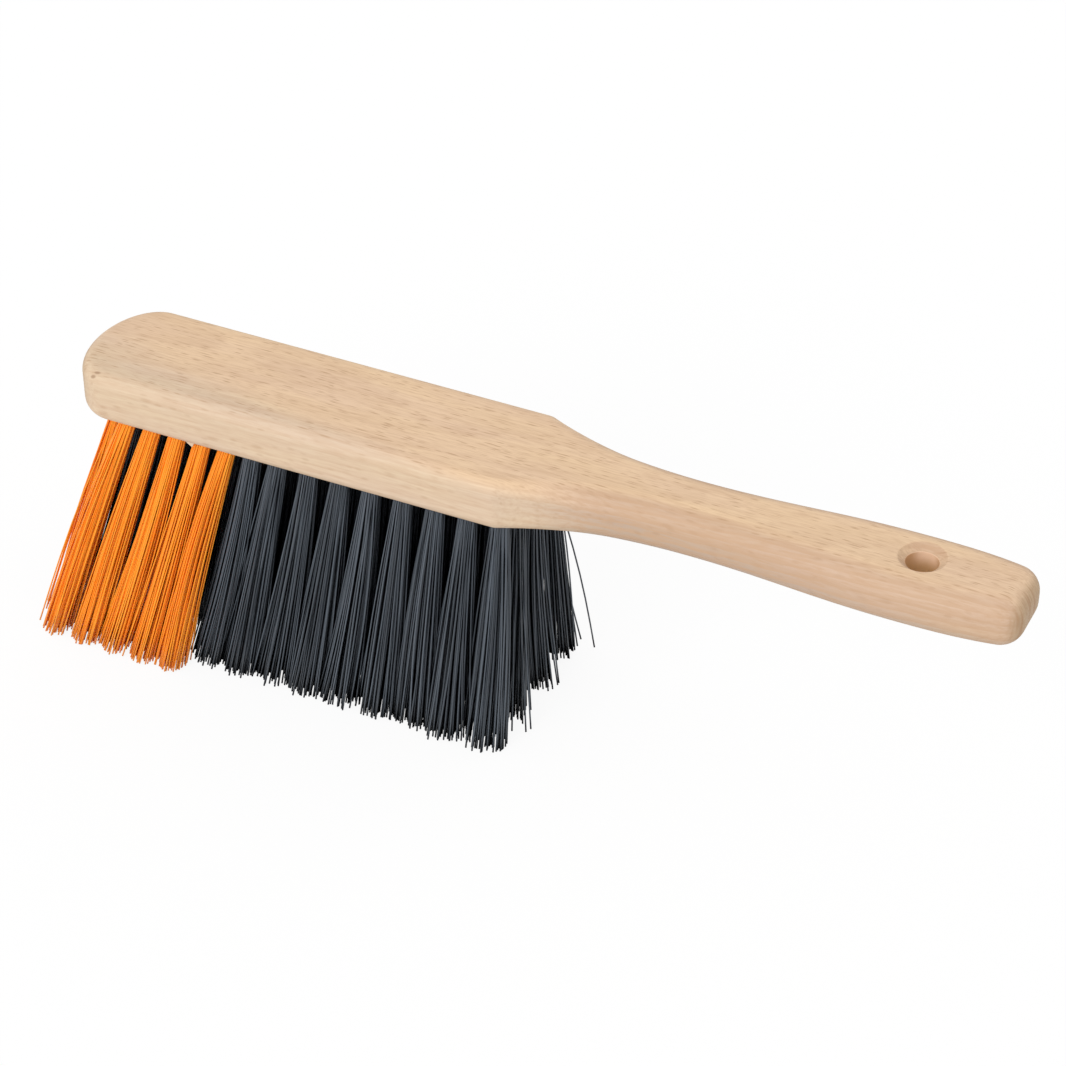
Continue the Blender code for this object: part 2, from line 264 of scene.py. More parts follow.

# Filaments: darkest and lightest tones, the painted shade that darkens them between their neighbours, and the
# share of open sky over which they go from that painted shade to their own tone
ORANGE_DARK = solid_colour(1.000, 0.235, 0.004)
ORANGE_LIGHT = solid_colour(1.000, 0.395, 0.028)
ORANGE_PAINTED_SHADE = solid_colour(0.860, 0.084, 0.001)
ORANGE_SHADE_RANGE = (0.00, 0.13)
GREY_DARK = solid_colour(0.024, 0.030, 0.038)
GREY_LIGHT = solid_colour(0.110, 0.129, 0.155)
GREY_PAINTED_SHADE = solid_colour(0.002, 0.002, 0.003)
GREY_SHADE_RANGE = (0.13, 0.57)
OCCLUSION_REACH = 0.018
OCCLUSION_SAMPLES = 8
BRISTLE_SPECULAR = 0.35
BRISTLE_ROUGHNESS = (0.30, 0.42)
OWN_TONE_SHARE = 0.7
FILAMENT_DRIFT_CELL = (0.004, 0.004, 0.020)
FILAMENT_SCRATCH_CELL = (0.0002, 0.0002, 0.0060)
FILAMENT_SCRATCH_DEPTH = 0.000015

body_low, body_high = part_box("beech_body")
UNDERSIDE = body_low.z
TOP = body_high.z
SHOULDER_X = body_low.x + HEAD_LENGTH
PALM_DISTANCE = HANDLE_LENGTH - PALM_TO_END
HANG_HOLE_DISTANCE = HANDLE_LENGTH - HANG_HOLE_TO_END


def mesh_object(name, mesh):
    made = bpy.data.objects.new(name, mesh)
    bpy.context.scene.collection.objects.link(made)
    return made


def object_from(name, bm):
    mesh = bpy.data.meshes.new(name)
    bm.to_mesh(mesh)
    bm.free()
    return mesh_object(name, mesh)


def heading_vector(angle):
    return Vector((cos(angle), sin(angle)))


def arc(start, heading, turn, radius, steps):
    """Points of an arc that starts at start, running along heading, and turns clockwise by turn."""
    points = []
    for step in range(steps + 1):
        now = heading - turn * step / steps
        across = radius * (sin(heading) - sin(now))
        down = radius * (cos(now) - cos(heading))
        points.append(Vector((start.x + across, start.y + down)))
    return points


def half_outline():
    """The body's edge in plan on the +Y side, from the nose tip to the middle of the handle's end."""
    front = HEAD_WIDTH_FRONT / 2
    rear = HEAD_WIDTH_REAR / 2
    nose = []
    for step in range(NOSE_STEPS + 1):
        angle = pi / 2 * step / NOSE_STEPS
        nose.append(Vector((-HEAD_LENGTH + NOSE_DEPTH * (1 - cos(angle)), front * sin(angle))))

    corner = Vector((0, rear))
    side = corner - nose[-1]
    side_heading = atan2(side.y, side.x)
    turn = SHOULDER_ANGLE + side_heading
    tangent = SHOULDER_RADIUS * tan(turn / 2)
    bend_start = corner - heading_vector(side_heading) * tangent
    shoulder = arc(bend_start, side_heading, turn, SHOULDER_RADIUS, SHOULDER_STEPS)

    neck = Vector((NECK_DISTANCE, NECK_WIDTH / 2))
    palm = Vector((PALM_DISTANCE, PALM_WIDTH / 2))
    end = Vector((HANDLE_LENGTH - END_CORNER_RADIUS * (1 - sin(END_ANGLE)), END_WIDTH / 2))
    stretches = (
        (shoulder[-1], heading_vector(-SHOULDER_ANGLE) * SHOULDER_PULL, Vector((-NECK_PULL, 0)), neck),
        (neck, Vector((PALM_PULL, 0)), Vector((-PALM_PULL, 0)), palm),
        (palm, Vector((END_PULL, 0)), -heading_vector(-END_ANGLE) * END_PULL, end),
    )
    handle = []
    for start, pull_out, pull_in, finish in stretches:
        points = interpolate_bezier(start, start + pull_out, finish + pull_in, finish, HANDLE_STEPS + 1)
        handle += [point.to_2d() for point in points[1:]]

    corner_arc = arc(end, -END_ANGLE, pi / 2 - END_ANGLE, END_CORNER_RADIUS, CORNER_STEPS)[1:]
    return nose + shoulder + handle + corner_arc


def whole_outline():
    """The closed outline, from the nose tip along +Y to the handle's end and back along -Y."""
    half = half_outline()
    return half + [Vector((point.x, -point.y)) for point in half[:0:-1]]


def outward_normals(points):
    normals = []
    for index, _ in enumerate(points):
        along = (points[(index + 1) % len(points)] - points[index - 1]).normalized()
        normals.append(Vector((-along.y, along.x)))
    return normals


def edge_radius(head_radius, x):
    share = min(max(x / EDGE_BLEND_LENGTH, 0), 1)
    blend = share * share * (3 - 2 * share)
    return head_radius + (HANDLE_EDGE_RADIUS - head_radius) * blend


def edge_ring(points, normals, head_radius, face, inwards, angle, border=0.0):
    """One ring of points round the body at an angle of its rounded edge: 0 on the side, pi/2 on the face."""
    ring = []
    for point, normal in zip(points, normals):
        radius = edge_radius(head_radius, point.x)
        inset = point - normal * (radius * (1 - cos(angle)) + border)
        height = face + inwards * radius * (1 - sin(angle))
        ring.append(Vector((inset.x + SHOULDER_X, inset.y, height)))
    return ring


def body_blank():
    """The body before drilling: rings round its edge, with a narrow flat border inside each face's edge."""
    outline = whole_outline()
    normals = outward_normals(outline)
    angles = [pi / 2 * step / EDGE_STEPS for step in range(EDGE_STEPS + 1)]
    rings = [edge_ring(outline, normals, HEAD_TOP_RADIUS, TOP, -1, pi / 2, FLAT_BORDER)]
    rings += [edge_ring(outline, normals, HEAD_TOP_RADIUS, TOP, -1, angle) for angle in reversed(angles)]
    rings += [edge_ring(outline, normals, HEAD_BOTTOM_RADIUS, UNDERSIDE, 1, angle) for angle in angles]
    rings.append(edge_ring(outline, normals, HEAD_BOTTOM_RADIUS, UNDERSIDE, 1, pi / 2, FLAT_BORDER))

    bm = bmesh.new()
    loops = [[bm.verts.new(point) for point in ring] for ring in rings]
    count = len(outline)
    for upper, lower in zip(loops, loops[1:]):
        for index in range(count):
            after = (index + 1) % count
            bm.faces.new((upper[index], upper[after], lower[after], lower[index]))
    bm.faces.new(loops[0][::-1])
    bm.faces.new(loops[-1])
    bmesh.ops.recalc_face_normals(bm, faces=bm.faces)
    return object_from("beech_body_fine", bm)


def hang_hole_cutter():
    """A turned cutter: the hole's width in the middle, with a countersunk mouth at each face."""
    hole = HANG_HOLE_DIAMETER / 2
    mouth = HANG_MOUTH_DIAMETER / 2
    slope = atan2(HANG_MOUTH_DEPTH, mouth - hole)
    brim = mouth + HANG_LIP_RADIUS * tan(slope / 2)
    angles = [slope * step / EDGE_STEPS for step in range(EDGE_STEPS + 1)]
    lip = [(brim - HANG_LIP_RADIUS * sin(angle), HANG_LIP_RADIUS * (1 - cos(angle))) for angle in angles]
    lip.append((hole, HANG_MOUTH_DEPTH))
    profile = [(0, TOP + CUT_OVERRUN), (brim, TOP + CUT_OVERRUN)]
    profile += [(radius, TOP - depth) for radius, depth in lip]
    profile += [(radius, UNDERSIDE + depth) for radius, depth in reversed(lip)]
    profile += [(brim, UNDERSIDE - CUT_OVERRUN), (0, UNDERSIDE - CUT_OVERRUN)]

    bm = bmesh.new()
    verts = [bm.verts.new((radius, 0, height)) for radius, height in profile]
    for first, second in zip(verts, verts[1:]):
        bm.edges.new((first, second))
    bmesh.ops.spin(
        bm,
        geom=bm.verts[:] + bm.edges[:],
        cent=(0, 0, 0),
        axis=(0, 0, 1),
        angle=2 * pi,
        steps=HANG_HOLE_STEPS,
    )
    bmesh.ops.remove_doubles(bm, verts=bm.verts, dist=WELD_DISTANCE)
    bmesh.ops.recalc_face_normals(bm, faces=bm.faces)
    cutter = object_from("hang_hole_cutter", bm)
    cutter.location.x = SHOULDER_X + HANG_HOLE_DISTANCE
    return cutter


def column_x(column):
    """Where a column of tufts leaves the wood, from the shoulder. The front columns are closer together."""
    rear_pitches = COLUMNS - max(column, FRONT_PITCH_COLUMNS)
    front_pitches = FRONT_PITCH_COLUMNS - min(max(column, 1), FRONT_PITCH_COLUMNS)
    nose_pitches = 1 - min(column, 1)
    front_x = -REAR_TUFT_INSET - rear_pitches * REAR_PITCH - front_pitches * FRONT_PITCH
    return front_x - nose_pitches * NOSE_PITCH


def is_orange(column, row):
    outer = row in (0, len(ROWS) - 1)
    return column == 0 or (outer and column <= ORANGE_COLUMNS)


def column_lean(column):
    return FRONT_LEAN + (REAR_LEAN - FRONT_LEAN) * column / COLUMNS


def tuft_axis(column, row, height):
    """The point of a tuft's axis at a height above the tips, in the frame."""
    drop = UNDERSIDE - height
    across = 2 * row / (len(ROWS) - 1) - 1
    half_span = HEAD_WIDTH_REAR / 2 - ROW_INSET
    splay = ORANGE_SPLAY if is_orange(column, row) else GREY_SPLAY
    lean = column_lean(column)
    y = across * (half_span + drop * tan(splay))
    if column == 0:
        lean = NOSE_LEAN
        y = copysign(NOSE_TUFT_ACROSS + drop * tan(NOSE_SPLAY), across)
    return Vector((SHOULDER_X + column_x(column) - drop * tan(lean), y, height))


def tip_reach(colour, column):
    """Half the length and half the width of the patch that a tuft's tips cover."""
    halfway = [column_x(near) - UNDERSIDE * tan(column_lean(near)) for near in (column - 0.5, column + 0.5)]
    return TIP_SPREAD_SHARE[colour] * (halfway[1] - halfway[0]) / 2, TIP_SPREAD_ACROSS


def tuft_nodes():
    """(node name, colour, column, row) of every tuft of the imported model."""
    found = []
    for name in sorted(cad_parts):
        if "_tuft_" in name:
            colour, _, place = name.split("_")
            found.append((name, colour, int(place[1:]), ROWS.index(place[0])))
    return found


def leaning_prism(bm, foot, head, radius, sides):
    axis = head - foot
    middle = (foot + head) / 2
    rows = ((1, 0, axis.x, middle.x), (0, 1, axis.y, middle.y), (0, 0, axis.z, middle.z), (0, 0, 0, 1))
    bmesh.ops.create_cone(
        bm, cap_ends=True, segments=sides, radius1=radius, radius2=radius, depth=1, matrix=Matrix(rows)
    )


def tuft_hole_cutter():
    bm = bmesh.new()
    for _, _, column, row in tuft_nodes():
        foot = tuft_axis(column, row, UNDERSIDE - CUT_OVERRUN)
        head = tuft_axis(column, row, UNDERSIDE + TUFT_HOLE_DEPTH)
        leaning_prism(bm, foot, head, TUFT_HOLE_DIAMETER / 2, TUFT_HOLE_SIDES)
    return object_from("tuft_hole_cutter", bm)


def sliver():
    """A thin wedge of wood that hangs from the lower edge, thick at its root and thin at its tip."""
    bm = bmesh.new()
    edge = Vector((SHOULDER_X, 0, UNDERSIDE))
    ends = [(corner, SLIVER_THICKNESS) for corner in SLIVER_CORNERS] + [(SLIVER_TIP, SLIVER_TIP_THICKNESS)]
    for corner, thickness in ends:
        for side in (-1, 1):
            bm.verts.new(edge + corner + Vector((0, side * thickness / 2, 0)))
    bmesh.ops.convex_hull(bm, input=bm.verts)
    return object_from("sliver", bm)


def drilled_body(wood):
    body = body_blank()
    changes = ((hang_hole_cutter(), "DIFFERENCE"), (tuft_hole_cutter(), "DIFFERENCE"), (sliver(), "UNION"))
    for other, operation in changes:
        change = body.modifiers.new(other.name, "BOOLEAN")
        change.operation = operation
        change.solver = "EXACT"
        change.object = other
    bpy.context.view_layer.update()
    graph = bpy.context.evaluated_depsgraph_get()
    drilled = bpy.data.meshes.new_from_object(body.evaluated_get(graph))
    body.modifiers.clear()
    body.data = drilled
    for other, _ in changes:
        bpy.data.objects.remove(other)
    drilled.shade_smooth()
    drilled.set_sharp_from_angle(angle=SHARP_ANGLE)
    drilled.materials.clear()
    drilled.materials.append(wood)
    level = body.modifiers.new("level_normals", "WEIGHTED_NORMAL")
    level.mode = "FACE_AREA"
    level.weight = NORMAL_WEIGHT
    level.keep_sharp = True
    return body


def bundle_places(count):
    """Where each filament sits in its bundle, from the middle out, as shares of the bundle's radius."""
    number = np.arange(count)
    radius = np.sqrt((number + 0.5) / count)
    angle = number * GOLDEN_ANGLE
    return np.stack([radius * np.cos(angle), radius * np.sin(angle)], axis=-1)


def tuft_paths(colour, column, row, strays, rng):
    """Centre lines of a tuft's filaments, root first, as an array of filament, step and coordinate."""
    count = FILAMENTS[colour]
    places = bundle_places(count)
    reach = np.array(tip_reach(colour, column))
    drift = rng.normal(0, TUFT_DRIFT, 2)
    if colour == "grey":
        drift[1] += GREY_SWEEP
    tuft_bow = rng.normal(0, TUFT_BOW, 2)
    tips = places * reach + drift + rng.normal(0, TIP_JITTER[colour], places.shape)
    bows = tuft_bow + rng.normal(0, BOW_JITTER, places.shape)
    ends = rng.uniform(TIP_CLEARANCE, TUFT_TRIM) + np.abs(rng.normal(0, TIP_RAGGEDNESS, count))
    short = rng.random(count) < SHORT_FILAMENT_CHANCE
    ends += short * rng.uniform(0, SHORT_FILAMENT_LOSS, count)

    mouth = np.array(tuft_axis(column, row, UNDERSIDE))
    foot = np.array(tuft_axis(column, row, 0))
    slope = (mouth - foot) / UNDERSIDE
    for number, (tip, bow) in enumerate(strays):
        tips[number] = (SHOULDER_X + tip[0] - foot[0], tip[1] - foot[1])
        bows[number] = (bow, 0)
        ends[number] = TIP_CLEARANCE
    paths = np.zeros((count, ROOT_STEPS + FILAMENT_STEPS, 3))
    for step in range(ROOT_STEPS):
        paths[:, step] = mouth + slope * ROOT_DEPTH * (1 - step / ROOT_STEPS)
        paths[:, step, :2] += places * ROOT_REACH
    for step in range(FILAMENT_STEPS):
        share = step / (FILAMENT_STEPS - 1)
        drop = (UNDERSIDE - ends) * share
        across = places * ROOT_REACH * (1 - share) + tips * share + bows * sin(pi * share)
        paths[:, ROOT_STEPS + step] = mouth - slope * drop[:, None]
        paths[:, ROOT_STEPS + step, :2] += across
    return paths


def filament_mesh(name, paths, radius, rng):
    """Round bars along the paths. Each bar's tone is kept in the attribute filament_tone, 0 to 1."""
    count, steps, _ = paths.shape
    along = np.gradient(paths, axis=1)
    along /= np.linalg.norm(along, axis=2, keepdims=True)
    aside = np.cross(along, (0.0, 1.0, 0.0))
    aside /= np.linalg.norm(aside, axis=2, keepdims=True)
    around = np.cross(along, aside)
    angles = 2 * pi * np.arange(FILAMENT_SIDES) / FILAMENT_SIDES
    ring = aside[:, :, None] * np.cos(angles)[:, None] + around[:, :, None] * np.sin(angles)[:, None]
    verts = (paths[:, :, None] + radius * ring).reshape(-1, 3)

    sides = []
    caps = []
    for bar in range(count):
        first = bar * steps * FILAMENT_SIDES
        for step in range(steps - 1):
            upper = first + step * FILAMENT_SIDES
            lower = upper + FILAMENT_SIDES
            for side in range(FILAMENT_SIDES):
                after = (side + 1) % FILAMENT_SIDES
                sides.append((upper + side, upper + after, lower + after, lower + side))
        last = first + (steps - 1) * FILAMENT_SIDES
        caps.append(tuple(first + side for side in reversed(range(FILAMENT_SIDES))))
        caps.append(tuple(last + side for side in range(FILAMENT_SIDES)))

    mesh = bpy.data.meshes.new(name)
    mesh.from_pydata(verts.tolist(), [], sides + caps)
    smooth = np.ones(len(mesh.polygons), dtype=bool)
    smooth[len(sides) :] = False
    mesh.polygons.foreach_set("use_smooth", smooth)
    tones = np.repeat(rng.random(count), steps * FILAMENT_SIDES)
    tone = mesh.attributes.new("filament_tone", "FLOAT", "POINT")
    tone.data.foreach_set("value", tones.astype(np.float32))
    mesh.update()
    return mesh


def add_tufts(finishes):
    rng = np.random.default_rng(SEED)
    for name, colour, column, row in tuft_nodes():
        paths = tuft_paths(colour, column, row, STRAYS.get(name, ()), rng)
        mesh = filament_mesh(name + "_filaments", paths, FILAMENT_DIAMETER[colour] / 2, rng)
        mesh.materials.append(finishes[colour])
        tuft = mesh_object(mesh.name, mesh)
        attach(tuft, "root")
        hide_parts(name)


class Nodes:
    """A node tree, with a short way to add each kind of node that the materials use."""

    def __init__(self, tree):
        self.tree = tree

    def add(self, kind, inputs, **settings):
        """A node with its settings. Inputs go by name or number, and one that is a socket is linked."""
        node = self.tree.nodes.new(kind)
        for name, value in settings.items():
            setattr(node, name, value)
        for key, value in inputs.items():
            self.set(node.inputs[key], value)
        return node

    def set(self, socket, value):
        if isinstance(value, bpy.types.NodeSocket):
            self.tree.links.new(value, socket)
        else:
            socket.default_value = value

    def math(self, operation, first, second=0.0):
        return self.add("ShaderNodeMath", {0: first, 1: second}, operation=operation).outputs[0]

    def vector(self, operation, first, second):
        return self.add("ShaderNodeVectorMath", {0: first, 1: second}, operation=operation).outputs[0]

    def mix(self, factor, first, second, blend="MIX"):
        """Two colours mixed. Sockets 6 and 7 of the node are its colours, and output 2 is the mixed one."""
        node = self.add(
            "ShaderNodeMix", {0: factor, 6: first, 7: second}, data_type="RGBA", blend_type=blend
        )
        return node.outputs[2]

    def length(self, vector):
        return self.add("ShaderNodeVectorMath", {0: vector}, operation="LENGTH").outputs["Value"]

    def noise(self, vector, detail=2.0, roughness=0.5, distortion=0.0):
        inputs = {
            "Vector": vector,
            "Scale": 1.0,
            "Detail": detail,
            "Roughness": roughness,
            "Distortion": distortion,
        }
        return self.add("ShaderNodeTexNoise", inputs)

    def rescale(self, value, low, high, to_low=0.0, to_high=1.0, smooth=True):
        """Takes low..high to to_low..to_high, with its ends held."""
        kind = "SMOOTHSTEP" if smooth else "LINEAR"
        inputs = {0: value, 1: low, 2: high, 3: to_low, 4: to_high}
        return self.add("ShaderNodeMapRange", inputs, interpolation_type=kind).outputs[0]

    def cells(self, vector, size):
        """The vector counted in cells of that size, in metres."""
        return self.vector("MULTIPLY", vector, tuple(1.0 / length for length in size))


def new_material(name):
    made = bpy.data.materials.new(name)
    made.use_nodes = True
    nodes = Nodes(made.node_tree)
    return made, nodes, made.node_tree.nodes["Principled BSDF"]


def bristle_material(name, dark, light, painted_shade, shade_range):
    """Round plastic filaments, each its own tone; painted shade darkens and dulls them amid neighbours."""
    made, nodes, shader = new_material(name)
    own = nodes.add("ShaderNodeAttribute", {}, attribute_name="filament_tone").outputs["Fac"]
    place = nodes.add("ShaderNodeTexCoord", {}).outputs["Object"]
    drift = nodes.noise(nodes.cells(place, FILAMENT_DRIFT_CELL), detail=FINE_DETAIL).outputs[0]
    own_part = nodes.math("MULTIPLY", own, OWN_TONE_SHARE)
    tone = nodes.math("ADD", own_part, nodes.math("MULTIPLY", drift, 1.0 - OWN_TONE_SHARE))
    # Painted shade: where little open sky reaches a filament, its colour goes to the shade tone and its
    # specular dims
    around = {"Distance": OCCLUSION_REACH}
    sky = nodes.add("ShaderNodeAmbientOcclusion", around, samples=OCCLUSION_SAMPLES).outputs["AO"]
    unshaded = nodes.rescale(sky, *shade_range)
    nodes.set(shader.inputs["Base Color"], nodes.mix(unshaded, painted_shade, nodes.mix(tone, dark, light)))
    nodes.set(shader.inputs["Specular IOR Level"], nodes.math("MULTIPLY", unshaded, BRISTLE_SPECULAR))
    rough = nodes.rescale(drift, *ROUGHNESS_RANGE, *BRISTLE_ROUGHNESS)
    nodes.set(shader.inputs["Roughness"], rough)
    scratches = nodes.noise(nodes.cells(place, FILAMENT_SCRATCH_CELL)).outputs[0]
    bump = nodes.add("ShaderNodeBump", {"Height": scratches, "Distance": FILAMENT_SCRATCH_DEPTH})
    nodes.set(shader.inputs["Normal"], bump.outputs[0])
    return made


def from_pith(nodes, place, wander):
    """Distance from the middle of the tree, which lay above the body, in wavy rings."""
    beside = nodes.vector("SUBTRACT", place, (0.0, PITH_ACROSS, UNDERSIDE + PITH_ABOVE))
    across = nodes.vector("MULTIPLY", beside, (0.0, 1.0, 1.0))
    radius = nodes.length(across)
    return nodes.math("ADD", radius, nodes.math("MULTIPLY", wander, RING_WANDER))


def beech_rings(nodes, radius, along):
    """Late wood of the growth rings: 0 to 1, rising slowly across a ring and then dropping."""
    radius = nodes.math("ADD", radius, nodes.math("MULTIPLY", along, GRAIN_RISE_SHARE))
    phase = nodes.math("FRACT", nodes.math("DIVIDE", radius, RING_WIDTH))
    rising = nodes.rescale(phase, *RING_RISE)
    falling = nodes.rescale(phase, *RING_FALL, 1.0, 0.0)
    return nodes.math("MULTIPLY", rising, falling)


def beech_rays(nodes, place, size, chosen):
    """Spindles of ray tissue: short brown dashes on the top and narrow upright streaks on the end grain."""
    cell = nodes.add("ShaderNodeTexVoronoi", {"Vector": nodes.cells(place, size), "Scale": 1.0})
    core = nodes.rescale(cell.outputs["Distance"], *RAY_CORE, 1.0, 0.0)
    lot = nodes.add("ShaderNodeSeparateColor", {0: cell.outputs["Color"]}).outputs[0]
    return nodes.math("MULTIPLY", core, nodes.rescale(lot, chosen, 1.0))


def bent_grain(nodes, raw):
    """The place in the wood, moved a little up, down and aside by the slow bends of its grain."""
    bend = nodes.noise(nodes.cells(raw, GRAIN_BEND_CELL), detail=COARSE_DETAIL)
    from_middle = nodes.vector("SUBTRACT", bend.outputs[1], NOISE_MIDDLE)
    return nodes.vector("ADD", raw, nodes.vector("MULTIPLY", from_middle, GRAIN_BEND))


def handle_share(nodes, along):
    """How much of the handle's side tint a place has: none on the head, all at the neck, less at the end."""
    rising = nodes.rescale(along, SHOULDER_X + HANDLE_TONE_START, SHOULDER_X + HANDLE_TONE_FULL)
    fade = (SHOULDER_X + HANDLE_TONE_FADE, SHOULDER_X + HANDLE_TONE_FADED, 1.0, HANDLE_TONE_FADED_SHARE)
    return nodes.math("MULTIPLY", rising, nodes.rescale(along, *fade))


def tinted(nodes, colour, where, tint):
    return nodes.mix(where, colour, nodes.mix(1.0, colour, tint, "MULTIPLY"))


def marked(nodes, colour, pattern, depth, tone):
    """The colour taken towards a tone where a pattern is, by a depth from 0 to 1."""
    return nodes.mix(nodes.math("MULTIPLY", pattern, depth), colour, tone)


def sapwood(nodes, colour, radius, along):
    """The paler wood beyond a ring that draws in towards the nose."""
    from_middle = nodes.math("SUBTRACT", along, SHOULDER_X - HEAD_LENGTH / 2)
    drawn_in = nodes.math("MULTIPLY", from_middle, PALE_RISE_SHARE)
    pale = nodes.rescale(nodes.math("SUBTRACT", radius, drawn_in), PALE_START, PALE_FULL)
    return tinted(nodes, colour, pale, PALE_TINT)


def ray_marks(nodes, colour, kinds, sideways):
    """Brown dashes, weaker on the sides. Each kind is its pattern and its depth."""
    on_side = nodes.rescale(sideways, 0.0, 1.0, 1.0, 1.0 - SIDE_RAY_LOSS_SHARE)
    for rays, depth in kinds:
        colour = marked(nodes, colour, nodes.math("MULTIPLY", rays, on_side), depth, BEECH_RAY)
    return colour


def end_grain(nodes, colour, place, endways):
    """The darker wood of the surfaces that face along the grain, with upright streaks."""
    upright = nodes.noise(nodes.cells(place, END_STREAK_CELL)).outputs[0]
    streaks = nodes.math("MULTIPLY", nodes.rescale(upright, *END_STREAK_RANGE), endways)
    colour = marked(nodes, colour, endways, END_DEPTH_SHARE, BEECH_END)
    return marked(nodes, colour, streaks, END_STREAK_DEPTH_SHARE, BEECH_RAY)


def pin_knots(nodes, colour, raw):
    for mark in KNOT_MARKS:
        middle = Vector((SHOULDER_X, 0, UNDERSIDE)) + mark
        reach = nodes.length(nodes.cells(nodes.vector("SUBTRACT", raw, tuple(middle)), KNOT_SIZE))
        colour = nodes.mix(nodes.rescale(reach, *KNOT_FADE, KNOT_DEPTH_SHARE, 0.0), colour, BEECH_KNOT)
    return colour


def bored_wood(nodes, colour, raw, facing_along):
    """Hang hole wall: pink tone lifted by painted light, darker across the grain, painted shade mid-way."""
    beside_hole = nodes.vector("SUBTRACT", raw, (SHOULDER_X + HANG_HOLE_DISTANCE, 0.0, 0.0))
    from_hole = nodes.length(nodes.vector("MULTIPLY", beside_hole, (1.0, 1.0, 0.0)))
    bore = HANG_HOLE_DIAMETER / 2
    bored = nodes.rescale(from_hole, bore, bore + BORE_EDGE, BORE_DEPTH_SHARE, 0.0)
    across_grain = nodes.rescale(facing_along, *BORE_END_FACING)
    bore_colour = nodes.mix(across_grain, BEECH_BORE_TONE_AND_LIGHT, BEECH_BORE_END)
    # Painted shade in the hole, strongest half way through
    height = nodes.add("ShaderNodeSeparateXYZ", {0: raw}).outputs["Z"]
    from_mid_height = nodes.math("ABSOLUTE", nodes.math("SUBTRACT", height, (UNDERSIDE + TOP) / 2))
    bore_shade = nodes.rescale(from_mid_height, *BORE_SHADE_REACH, 1.0, 0.0)
    return nodes.mix(bored, colour, nodes.mix(bore_shade, bore_colour, BEECH_BORE_PAINTED_SHADE))


def beech_material():
    made, nodes, shader = new_material("beech")
    raw = nodes.add("ShaderNodeTexCoord", {}).outputs["Object"]
    along = nodes.add("ShaderNodeSeparateXYZ", {0: raw}).outputs["X"]
    place = bent_grain(nodes, raw)
    normal = nodes.add("ShaderNodeNewGeometry", {}).outputs["Normal"]
    facing = nodes.add("ShaderNodeSeparateXYZ", {0: normal}).outputs
    facing_along = nodes.math("ABSOLUTE", facing["X"])
    facing_across = nodes.math("ABSOLUTE", facing["Y"])
    sideways = nodes.rescale(facing_across, *SIDE_FACING)
    turned = nodes.rescale(facing_across, *HANDLE_TONE_FACING)
    handle_side = nodes.math("MULTIPLY", turned, handle_share(nodes, along))

    patches = nodes.noise(nodes.cells(place, PATCH_CELL)).outputs[0]
    wander = nodes.noise(nodes.cells(raw, RING_WANDER_CELL)).outputs[0]
    radius = from_pith(nodes, place, wander)
    rings = beech_rings(nodes, radius, along)
    fibre_cells = nodes.cells(place, FIBRE_CELL)
    fibres = nodes.noise(fibre_cells, detail=FINE_DETAIL, roughness=FIBRE_NOISE_ROUGHNESS).outputs[0]
    strands = nodes.noise(nodes.cells(place, STRAND_CELL)).outputs[0]
    rays = beech_rays(nodes, place, RAY_CELL, RAY_CHOICE)
    fine_rays = beech_rays(nodes, place, FINE_RAY_CELL, FINE_RAY_CHOICE)

    colour = nodes.mix(nodes.rescale(patches, *PATCH_RANGE), BEECH_YELLOW, BEECH_PINK)
    colour = sapwood(nodes, colour, radius, along)
    colour = tinted(nodes, colour, handle_side, HANDLE_SIDE_TINT)
    ring_depth = nodes.rescale(handle_side, 0.0, 1.0, RING_DEPTH_SHARE, HANDLE_RING_DEPTH_SHARE)
    colour = marked(nodes, colour, rings, ring_depth, BEECH_LATE)
    plain_side = nodes.math("SUBTRACT", sideways, handle_side)
    fibre_depth = nodes.rescale(plain_side, 0.0, 1.0, FIBRE_DEPTH_SHARE, SIDE_FIBRE_DEPTH_SHARE)
    fibre_gain = nodes.math("MULTIPLY", handle_side, HANDLE_FIBRE_GAIN_SHARE)
    fibre_depth = nodes.math("ADD", fibre_depth, fibre_gain)
    colour = marked(nodes, colour, nodes.rescale(fibres, *FIBRE_RANGE), fibre_depth, BEECH_LATE)
    colour = nodes.mix(nodes.rescale(strands, *STRAND_RANGE, 0.0, STRAND_DEPTH_SHARE), colour, BEECH_LATE)
    ray_kinds = ((rays, RAY_DEPTH_SHARE), (fine_rays, FINE_RAY_DEPTH_SHARE))
    colour = ray_marks(nodes, colour, ray_kinds, sideways)
    colour = end_grain(nodes, colour, place, nodes.rescale(facing_along, *END_FACING))
    colour = pin_knots(nodes, colour, raw)
    colour = bored_wood(nodes, colour, raw, facing_along)
    nodes.set(shader.inputs["Base Color"], colour)

    rough = nodes.rescale(fibres, *ROUGHNESS_RANGE, *BEECH_ROUGHNESS)
    nodes.set(shader.inputs["Roughness"], rough)
    shader.inputs["Specular IOR Level"].default_value = BEECH_SPECULAR

    raised = nodes.math("MULTIPLY", fibres, RELIEF_SHARE)
    relief = nodes.math("SUBTRACT", raised, nodes.math("MULTIPLY", rays, RELIEF_SHARE))
    bump = nodes.add("ShaderNodeBump", {"Height": relief, "Distance": BEECH_RELIEF})
    nodes.set(shader.inputs["Normal"], bump.outputs[0])
    return made


def direction(azimuth, elevation):
    """Unit vector towards something seen at that azimuth, 0 being -Y, and elevation."""
    level = cos(elevation)
    return Vector((sin(azimuth) * level, -cos(azimuth) * level, sin(elevation)))


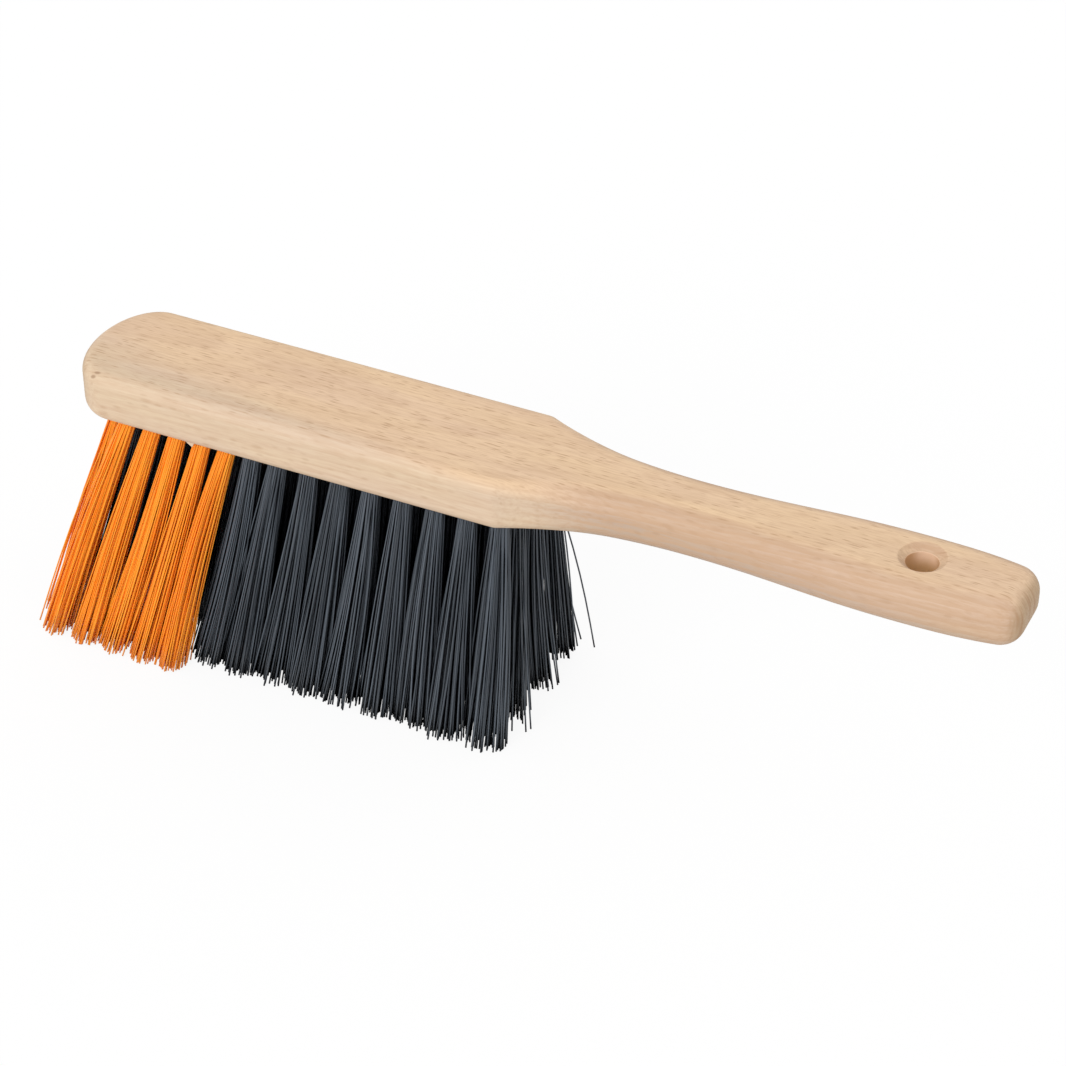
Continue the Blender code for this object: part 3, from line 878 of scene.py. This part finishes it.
def add_camera():
    data = bpy.data.cameras.new("camera")
    camera = bpy.data.objects.new("camera", data)
    bpy.context.scene.collection.objects.link(camera)
    data.sensor_width = SENSOR_WIDTH
    data.lens = SENSOR_WIDTH * FOCAL_PIXELS / FRAME_SIZE
    target = Vector((SHOULDER_X + AIM_FROM_SHOULDER, 0, UNDERSIDE - AIM_BELOW_HEAD))
    camera.location = target + direction(CAMERA_AZIMUTH, CAMERA_ELEVATION) * CAMERA_DISTANCE
    camera.rotation_euler = (pi / 2 - CAMERA_ELEVATION, 0, CAMERA_AZIMUTH)
    bpy.context.scene.camera = camera


def seen_directly(nodes):
    """1 for the rays that show something to the camera, straight, mirrored or through glass, else 0."""
    path = nodes.add("ShaderNodeLightPath", {}).outputs
    mirrored = nodes.math("MAXIMUM", path["Is Camera Ray"], path["Is Glossy Ray"])
    return nodes.math("MAXIMUM", mirrored, path["Is Transmission Ray"])


def add_room():
    """An even pale room: white where it is seen, and softer where it lights the brush."""
    world = bpy.data.worlds.new("room")
    bpy.context.scene.world = world
    world.use_nodes = True
    nodes = Nodes(world.node_tree)
    background = world.node_tree.nodes["Background"]
    background.inputs["Color"].default_value = WHITE
    strength = nodes.rescale(seen_directly(nodes), 0.0, 1.0, ROOM_LIGHT, 1.0, smooth=False)
    nodes.set(background.inputs["Strength"], strength)


def add_key():
    data = bpy.data.lights.new("key", "SUN")
    data.energy = KEY_STRENGTH
    data.angle = KEY_SOFTNESS
    key = bpy.data.objects.new("key", data)
    bpy.context.scene.collection.objects.link(key)
    key.rotation_euler = direction(KEY_AZIMUTH, KEY_ELEVATION).to_track_quat("Z", "Y").to_euler()


def floor_material():
    """Plain pale floor. Seen directly it glows a little, so that it is white and its shadows are light."""
    made, nodes, shader = new_material("floor")
    made.node_tree.nodes.remove(shader)
    lit = nodes.add("ShaderNodeBsdfDiffuse", {"Color": FLOOR_COLOUR}).outputs[0]
    bright = nodes.add("ShaderNodeBsdfDiffuse", {"Color": WHITE}).outputs[0]
    glow = nodes.add("ShaderNodeEmission", {"Color": WHITE}).outputs[0]
    shown = nodes.add("ShaderNodeMixShader", {0: FLOOR_GLOW_SHARE, 1: bright, 2: glow}).outputs[0]
    mixed = nodes.add("ShaderNodeMixShader", {0: seen_directly(nodes), 1: lit, 2: shown}).outputs[0]
    nodes.set(made.node_tree.nodes["Material Output"].inputs["Surface"], mixed)
    return made


def add_floor():
    bm = bmesh.new()
    bmesh.ops.create_grid(bm, x_segments=1, y_segments=1, size=FLOOR_REACH)
    floor = object_from("floor", bm)
    floor.data.materials.append(floor_material())


def add_brush():
    body = drilled_body(beech_material())
    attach(body, "root")
    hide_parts("beech_body")
    finishes = {
        "orange": bristle_material(
            "orange_filament", ORANGE_DARK, ORANGE_LIGHT, ORANGE_PAINTED_SHADE, ORANGE_SHADE_RANGE
        ),
        "grey": bristle_material("grey_filament", GREY_DARK, GREY_LIGHT, GREY_PAINTED_SHADE, GREY_SHADE_RANGE),
    }
    add_tufts(finishes)


bpy.context.scene.view_settings.view_transform = "Standard"
add_camera()
add_room()
add_key()
add_floor()
add_brush()
